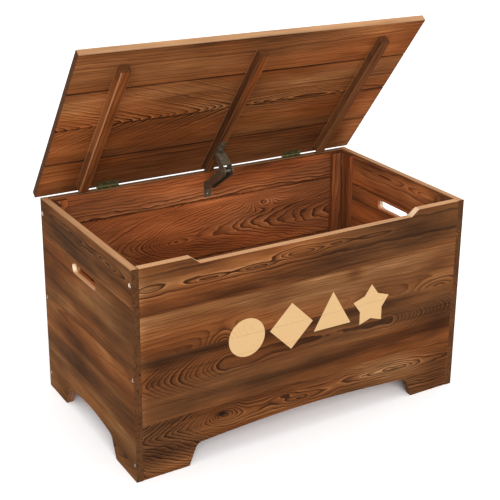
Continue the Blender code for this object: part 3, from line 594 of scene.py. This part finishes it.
def side_wood():
    top = {"pith": (0.420, -0.013), "ring": 0.0105, "taper": 0.004, "lines": 0.20,
           "figure": [(-0.13, 0.420, 0.052, 0.010, -2.2), (0.03, 0.421, 0.055, 0.008, -1.5),
                      (0.13, 0.421, 0.030, 0.006, -1.0)],
           "lined": [(-0.06, 0.420, 0.18, 0.014, 0.60)], "tone": 0.54, "pale": (0.0, 0.75),
           "knots": [(0.02, 0.420, 0.045, 0.0020, 0.5)],
           "scorch": [(-0.12, 0.420, 0.04, 0.008, 0.16), (0.0, 0.378, 0.10, 0.012, -0.08),
                      (0.16, 0.395, 0.08, 0.020, 0.06)]}
    upper = {"pith": (0.210, -0.040), "ring": 0.0085, "taper": 0.015, "lines": 0.12, "tone": 0.53,
             "pale": (1.0, 1.0), "pale_to": 0.007,
             "scorch": [(0.0, 0.277, 0.24, 0.010, -0.16), (0.09, 0.333, 0.14, 0.003, -0.22),
                        (0.02, 0.305, 0.12, 0.014, 0.10), (-0.04, 0.252, 0.16, 0.010, 0.20)]}
    lower = {"pith": (0.215, -0.022), "ring": 0.0080, "taper": 0.05, "crown": -0.05, "lines": 0.20,
             "tone": 0.56, "lined": [(-0.10, 0.248, 0.14, 0.012, 0.25)],
             "scorch": [(-0.02, 0.222, 0.20, 0.020, 0.16), (0.0, 0.158, 0.40, 0.008, 0.18),
                        (0.0, 0.126, 0.40, 0.018, -0.24), (0.0, 0.186, 0.30, 0.012, -0.08)]}
    bottom = {"pith": (0.030, -0.020), "ring": 0.0075, "taper": 0.10, "lines": 0.20, "tone": 0.56,
              "lined": [(-0.17, 0.025, 0.06, 0.025, 0.6)],
              "scorch": [(-0.17, 0.010, 0.05, 0.010, 0.14), (0.0, 0.075, 0.3, 0.014, 0.06)]}
    rows = {"top": top, "upper": upper, "lower": lower, "bottom": bottom}
    # the right side's inner face takes the brighter painted light
    for side, seed, inside in (("left", 21.3, INSIDE_PAINTED_FILL), ("right", 31.7, INSIDE_RIGHT_PAINTED_LIGHT)):
        for i, (row, looks) in enumerate(rows.items()):
            wood(f"{side}_board_{row}", seed + 1.9 * i, tint=SIDES, inside=inside, burn=0.5,
                 mottle=1.4, **looks)


def inner_wood():
    """Corner cleats, floor boards and floor rails."""
    corners = [(end, side, kind) for end in ("front", "back") for side in ("left", "right")
               for kind in ("long", "side")]
    for i, (end, side, kind) in enumerate(corners):
        wood(f"cleat_{end}_{side}_{kind}", 40.0 + 3.3 * i, pith=(0.02, -0.03), tint=INSIDE_PAINTED_FILL,
             tone=0.54, worn=0.5)
    for i, end in enumerate(("front", "back")):
        wood(f"floor_board_{end}", 71.0 + 6.0 * i, pith=(-0.05, -0.02), crown=0.1, taper=0.2, lines=0.6,
             tint=INSIDE_PAINTED_FILL, tone=0.56)
        wood(f"floor_rail_{end}", 81.0 + 6.0 * i, pith=(0.02, -0.03), tint=INSIDE_PAINTED_FILL, tone=0.56)


def lid_wood():
    """The two middle boards come from one plank: their figure runs on across the joint."""
    chevrons = {"pith": (0.226, 0.019), "crown": 0.0, "taper": -0.24, "skew": 0.22, "ring": 0.0100,
                "ripple": 1.3, "lines": 0.30, "mottle": 0.9,
                "lined": [(-0.20, 0.226, 0.26, 0.034, 1.1), (0.22, 0.240, 0.18, 0.034, 0.85)],
                "figure": [(0.19, 0.236, 0.13, 0.020, -4.0)],
                "knots": [(0.08, 0.231, 0.012, 0.003, 0.8), (-0.06, 0.227, 0.012, 0.0022, 0.6)]}
    plain = {"ring": 0.0085, "taper": 0.02, "lines": 0.30, "mottle": 0.9}
    boards = {
        "front": dict(plain, pith=(0.50, 0.050), tone=0.62,
                      scorch=[(-0.20, 0.395, 0.10, 0.016, 0.12), (0.10, 0.375, 0.16, 0.02, 0.08),
                              (-0.05, 0.445, 0.40, 0.008, -0.14), (0.40, 0.38, 0.05, 0.04, -0.16),
                              (-0.37, 0.39, 0.04, 0.05, 0.08)]),
        "front_middle": dict(chevrons, tone=0.60,
                             scorch=[(-0.37, 0.29, 0.05, 0.03, 0.18), (-0.13, 0.285, 0.10, 0.014, -0.12),
                                     (0.18, 0.29, 0.14, 0.02, 0.10), (0.15, 0.228, 0.10, 0.004, -0.25),
                                     (0.02, 0.27, 0.03, 0.05, -0.10)]),
        "back_middle": dict(chevrons, tone=0.53,
                            scorch=[(-0.10, 0.175, 0.06, 0.02, 0.08), (0.27, 0.17, 0.07, 0.04, -0.16),
                                    (-0.20, 0.140, 0.12, 0.014, -0.08), (0.38, 0.16, 0.03, 0.04, 0.20),
                                    (-0.37, 0.17, 0.04, 0.05, 0.12)]),
        "back": dict(plain, pith=(0.02, 0.060), tone=0.52,
                     scorch=[(-0.37, 0.055, 0.035, 0.05, 0.22), (0.38, 0.06, 0.03, 0.05, 0.24),
                             (-0.08, 0.075, 0.10, 0.008, 0.08), (0.28, 0.07, 0.08, 0.04, -0.12)]),
    }
    for i, (name, looks) in enumerate(boards.items()):
        seed = 51.0 + (2.7 * i if name in ("front", "back") else 2.7)
        pale = (0.3 if name == "back" else 0.0, 0.6 if name == "front" else 0.0)
        wood("lid_board_" + name, seed, inside=UNDER_LID, burn=0.85, pale=pale, **looks)
    # painted shade on the centre batten's left side face and a little painted light on its right one,
    # given as scorch spots
    centre_painted_side_shade_and_light = [(0.2, -0.011, 0.5, 0.0045, -0.30), (0.2, 0.011, 0.5, 0.006, 0.06)]
    for i, name in enumerate(("left", "centre", "right")):
        # pale along the low side face next to the lid is a painted highlight line at the batten's base;
        # worn brightens the arrises, wear with a painted highlight, most on the left batten
        wood("lid_batten_" + name, 61.0 + 2.1 * i, pith=(0.01, -0.02), ring=0.006, lines=0.25, tone=0.62,
             scorch=centre_painted_side_shade_and_light if name == "centre" else (), mottle=0.9, tint=BATTEN,
             pale=(1.0, 0.0), pale_to=-0.0012, worn=0.3 if name == "left" else 0.08)


# ---------------------------------------------------------------- metal

def metal(name, base, worn, roughness, metallic):
    """Plated metal: blotched tone, fine scratches and brighter worn patches."""
    mat, tree, shader = new_material(name)
    place = tree.node("ShaderNodeTexCoord", {}).outputs["Object"]
    blotch = tree.noise(tree.vector("MULTIPLY", place, BLOTCH_SCALE), 4.0, 0.6)
    scratches = tree.noise(tree.vector("MULTIPLY", place, SCRATCH_SCALE))
    patches = tree.ramp(tree.math("MULTIPLY_ADD", scratches, PATCH_SCRATCHES, blotch), *PATCH_RANGE)
    colour = tree.mix(patches, rgba(base), rgba(worn))
    rough = tree.math("MULTIPLY_ADD", scratches, ROUGH_SCRATCHES, roughness)
    rough = tree.math("MULTIPLY_ADD", blotch, ROUGH_BLOTCHES, rough)
    tree.put(shader.inputs["Base Color"], colour)
    tree.put(shader.inputs["Roughness"], rough)
    shader.inputs["Metallic"].default_value = metallic
    inputs = {"Strength": METAL_BUMP_STRENGTH, "Distance": METAL_BUMP_HEIGHT, "Height": scratches}
    tree.put(shader.inputs["Normal"], tree.node("ShaderNodeBump", inputs).outputs[0])
    return mat


def fittings():
    bronze = metal("antique_bronze", (0.095, 0.072, 0.046), (0.300, 0.250, 0.180), 0.40, 0.4)
    brass = metal("antique_brass", (0.085, 0.072, 0.024), (0.340, 0.300, 0.140), 0.38, 0.5)
    zinc = metal("zinc_plate", (0.62, 0.60, 0.57), (0.85, 0.83, 0.80), 0.34, 0.9)
    for node in NODES:
        if node.startswith("stay"):
            dress(node, bronze)
        elif node.startswith("hinge"):
            dress(node, brass)
        elif node.startswith("bolt"):
            dress(node, zinc)


# ---------------------------------------------------------------- screws

def screw_mesh():
    """Countersunk screw head with a cross recess, pointing along +Z, its rim at Z 0."""
    bm = bmesh.new()
    dome = [(SCREW_R * math.cos(t), SCREW_DOME * math.sin(t)) for t in DOME_STEPS]
    waist = (SCREW_R * SCREW_WAIST[0], SCREW_DEPTH * SCREW_WAIST[1])
    profile = [(0.0, SCREW_DOME)] + dome[::-1]
    profile += [waist, (SCREW_SHANK, -SCREW_DEPTH), (0.0, -SCREW_DEPTH)]
    points = [bm.verts.new((r, 0.0, z)) for r, z in profile]
    edges = [bm.edges.new(pair) for pair in zip(points, points[1:])]
    bmesh.ops.spin(bm, geom=points + edges, cent=(0, 0, 0), axis=(0, 0, 1), angle=2 * math.pi,
                   steps=SCREW_STEPS, use_merge=True)
    bmesh.ops.remove_doubles(bm, verts=bm.verts, dist=1e-6)
    bmesh.ops.recalc_face_normals(bm, faces=bm.faces)
    mesh = bpy.data.meshes.new("screw")
    bm.to_mesh(mesh)
    bm.free()
    blank = add_object("screw_blank", mesh)
    cutters = []
    reach = SCREW_R * CROSS_REACH
    for length, width in ((reach, CROSS_ARM / 2), (CROSS_ARM / 2, reach)):
        cutter = bmesh.new()
        bmesh.ops.create_cube(cutter, size=2.0)
        bmesh.ops.scale(cutter, vec=(length, width, CROSS_DEPTH), verts=cutter.verts)
        bmesh.ops.translate(cutter, vec=(0, 0, SCREW_DOME), verts=cutter.verts)
        cut = bpy.data.meshes.new("cross")
        cutter.to_mesh(cut)
        cutter.free()
        tool = add_object("cross", cut)
        step = blank.modifiers.new("cross", "BOOLEAN")
        step.operation, step.solver, step.object = "DIFFERENCE", "EXACT", tool
        cutters.append(tool)
    evaluated = blank.evaluated_get(bpy.context.evaluated_depsgraph_get())
    result = bpy.data.meshes.new_from_object(evaluated)
    for spare in (blank, *cutters):
        bpy.data.objects.remove(spare)
    return result


def screws():
    """Screws of the hinges and of the support's two brackets."""
    mat = metal("screw_bronze", (0.26, 0.23, 0.17), (0.62, 0.58, 0.48), 0.32, 0.7)
    blank = screw_mesh()

    def drive(name, body, matrix, turn):
        """One screw, its cross turned by so many radians."""
        mesh = blank.copy()
        mesh.transform(matrix @ Matrix.Rotation(turn, 4, "Z"))
        mesh.shade_smooth()
        mesh.set_sharp_from_angle(angle=math.radians(SCREW_SHARP))
        mesh.materials.append(mat)
        obj = add_object(name, mesh)
        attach(obj, body)

    down = Matrix.Rotation(math.pi, 4, "X")
    for side in ("left", "right"):
        low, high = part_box(f"hinge_{side}_box_leaf")
        middle = (low.x + high.x) / 2
        for i, step in enumerate(HINGE_SCREWS):
            x = middle + step
            level = HINGE.z - HINGE_SCREW_SINK
            place = Matrix.Translation((x, HINGE.y - HINGE_SCREW_IN, level))
            drive(f"screw_hinge_{side}_box_{i + 1}", "box", place, 0.4 + 1.3 * i)
            in_lid = Matrix.Translation((x, -HINGE_SCREW_IN, HINGE_SCREW_SINK))
            place = LID_FRAME @ in_lid @ down
            drive(f"screw_hinge_{side}_lid_{i + 1}", "lid", place, 0.9 + 0.8 * i)
    face = Matrix.Rotation(math.radians(90), 4, "X")
    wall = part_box("stay_box_bracket")[1].y - BRACKET_PLATE
    for i, drop in enumerate(BOX_BRACKET_SCREWS):
        place = Matrix.Translation((0.0, wall, ARM_PIVOT.z + drop)) @ face
        drive(f"screw_support_box_{i + 1}", "box", place, 0.3 + i)
    for i, dist in enumerate(LID_BRACKET_SCREWS):
        place = LID_FRAME @ Matrix.Translation((0.0, dist, LID_BRACKET_FACE)) @ down
        drive(f"screw_support_lid_{i + 1}", "lid", place, 0.7 + i)


# ---------------------------------------------------------------- stage

def camera():
    yaw = math.radians(CAMERA_YAW)
    pitch = math.radians(CAMERA_PITCH)
    roll = math.radians(CAMERA_ROLL)
    ahead = Vector((math.sin(yaw), math.cos(yaw), 0.0))
    forward = ahead * math.cos(pitch) + Z * math.sin(pitch)
    level = Vector((math.cos(yaw), -math.sin(yaw), 0.0))
    above = level.cross(forward)
    right = level * math.cos(roll) + above * math.sin(roll)
    up = above * math.cos(roll) - level * math.sin(roll)
    data = bpy.data.cameras.new("camera")
    data.lens, data.sensor_width = CAMERA_LENS, SENSOR_WIDTH
    data.shift_x, data.shift_y = CAMERA_SHIFT
    obj = add_object("camera", data)
    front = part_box("front_board_top")[0].y
    rotation = Matrix((right, up, -forward)).transposed().to_4x4()
    place = Matrix.Translation((CAMERA_X, front - CAMERA_TO_FRONT, CAMERA_Z))
    obj.matrix_world = place @ rotation
    bpy.context.scene.camera = obj


def stage_floor():
    bm = bmesh.new()
    corners = ((-1, -1), (1, -1), (1, 1), (-1, 1))
    bm.faces.new([bm.verts.new((x * FLOOR_REACH, y * FLOOR_REACH, 0.0)) for x, y in corners])
    mesh = bpy.data.meshes.new("studio_floor")
    bm.to_mesh(mesh)
    bm.free()
    floor = add_object("studio_floor", mesh)
    mat, _, shader = new_material("studio_floor")
    shader.inputs["Base Color"].default_value = rgba((FLOOR_GREY,) * 3)
    shader.inputs["Roughness"].default_value = FLOOR_ROUGHNESS
    shader.inputs["Specular IOR Level"].default_value = 0.0
    mesh.materials.append(mat)


def sun(name, azimuth, elevation, spread, strength):
    """A wide soft light. Azimuth 0 is in front of the box, and positive is to its right."""
    data = bpy.data.lights.new(name, "SUN")
    data.energy, data.angle = strength, math.radians(spread)
    obj = add_object(name, data)
    a, e = math.radians(azimuth), math.radians(elevation)
    towards = Vector((math.sin(a) * math.cos(e), -math.cos(a) * math.cos(e), math.sin(e)))
    obj.rotation_euler = towards.to_track_quat("Z", "Y").to_euler()


def studio():
    stage_floor()
    world = bpy.data.worlds.new("studio")
    world.use_nodes = True
    background = world.node_tree.nodes["Background"].inputs
    background["Color"].default_value = (1.0, 1.0, 1.0, 1.0)
    background["Strength"].default_value = SKY_STRENGTH
    bpy.context.scene.world = world
    bpy.context.scene.view_settings.view_transform = "Standard"
    sun("key", **KEY_LIGHT)


def main():
    camera()
    front_wood()
    back_wood()
    side_wood()
    inner_wood()
    lid_wood()
    fittings()
    for node in NODES:
        if node.startswith(("lid_batten", "cleat", "floor")):
            soften(node, ARRIS_BATTEN)
        elif "_board_" in node or node.startswith("stay"):
            soften(node, ARRIS_PANEL)
    screws()
    studio()


main()
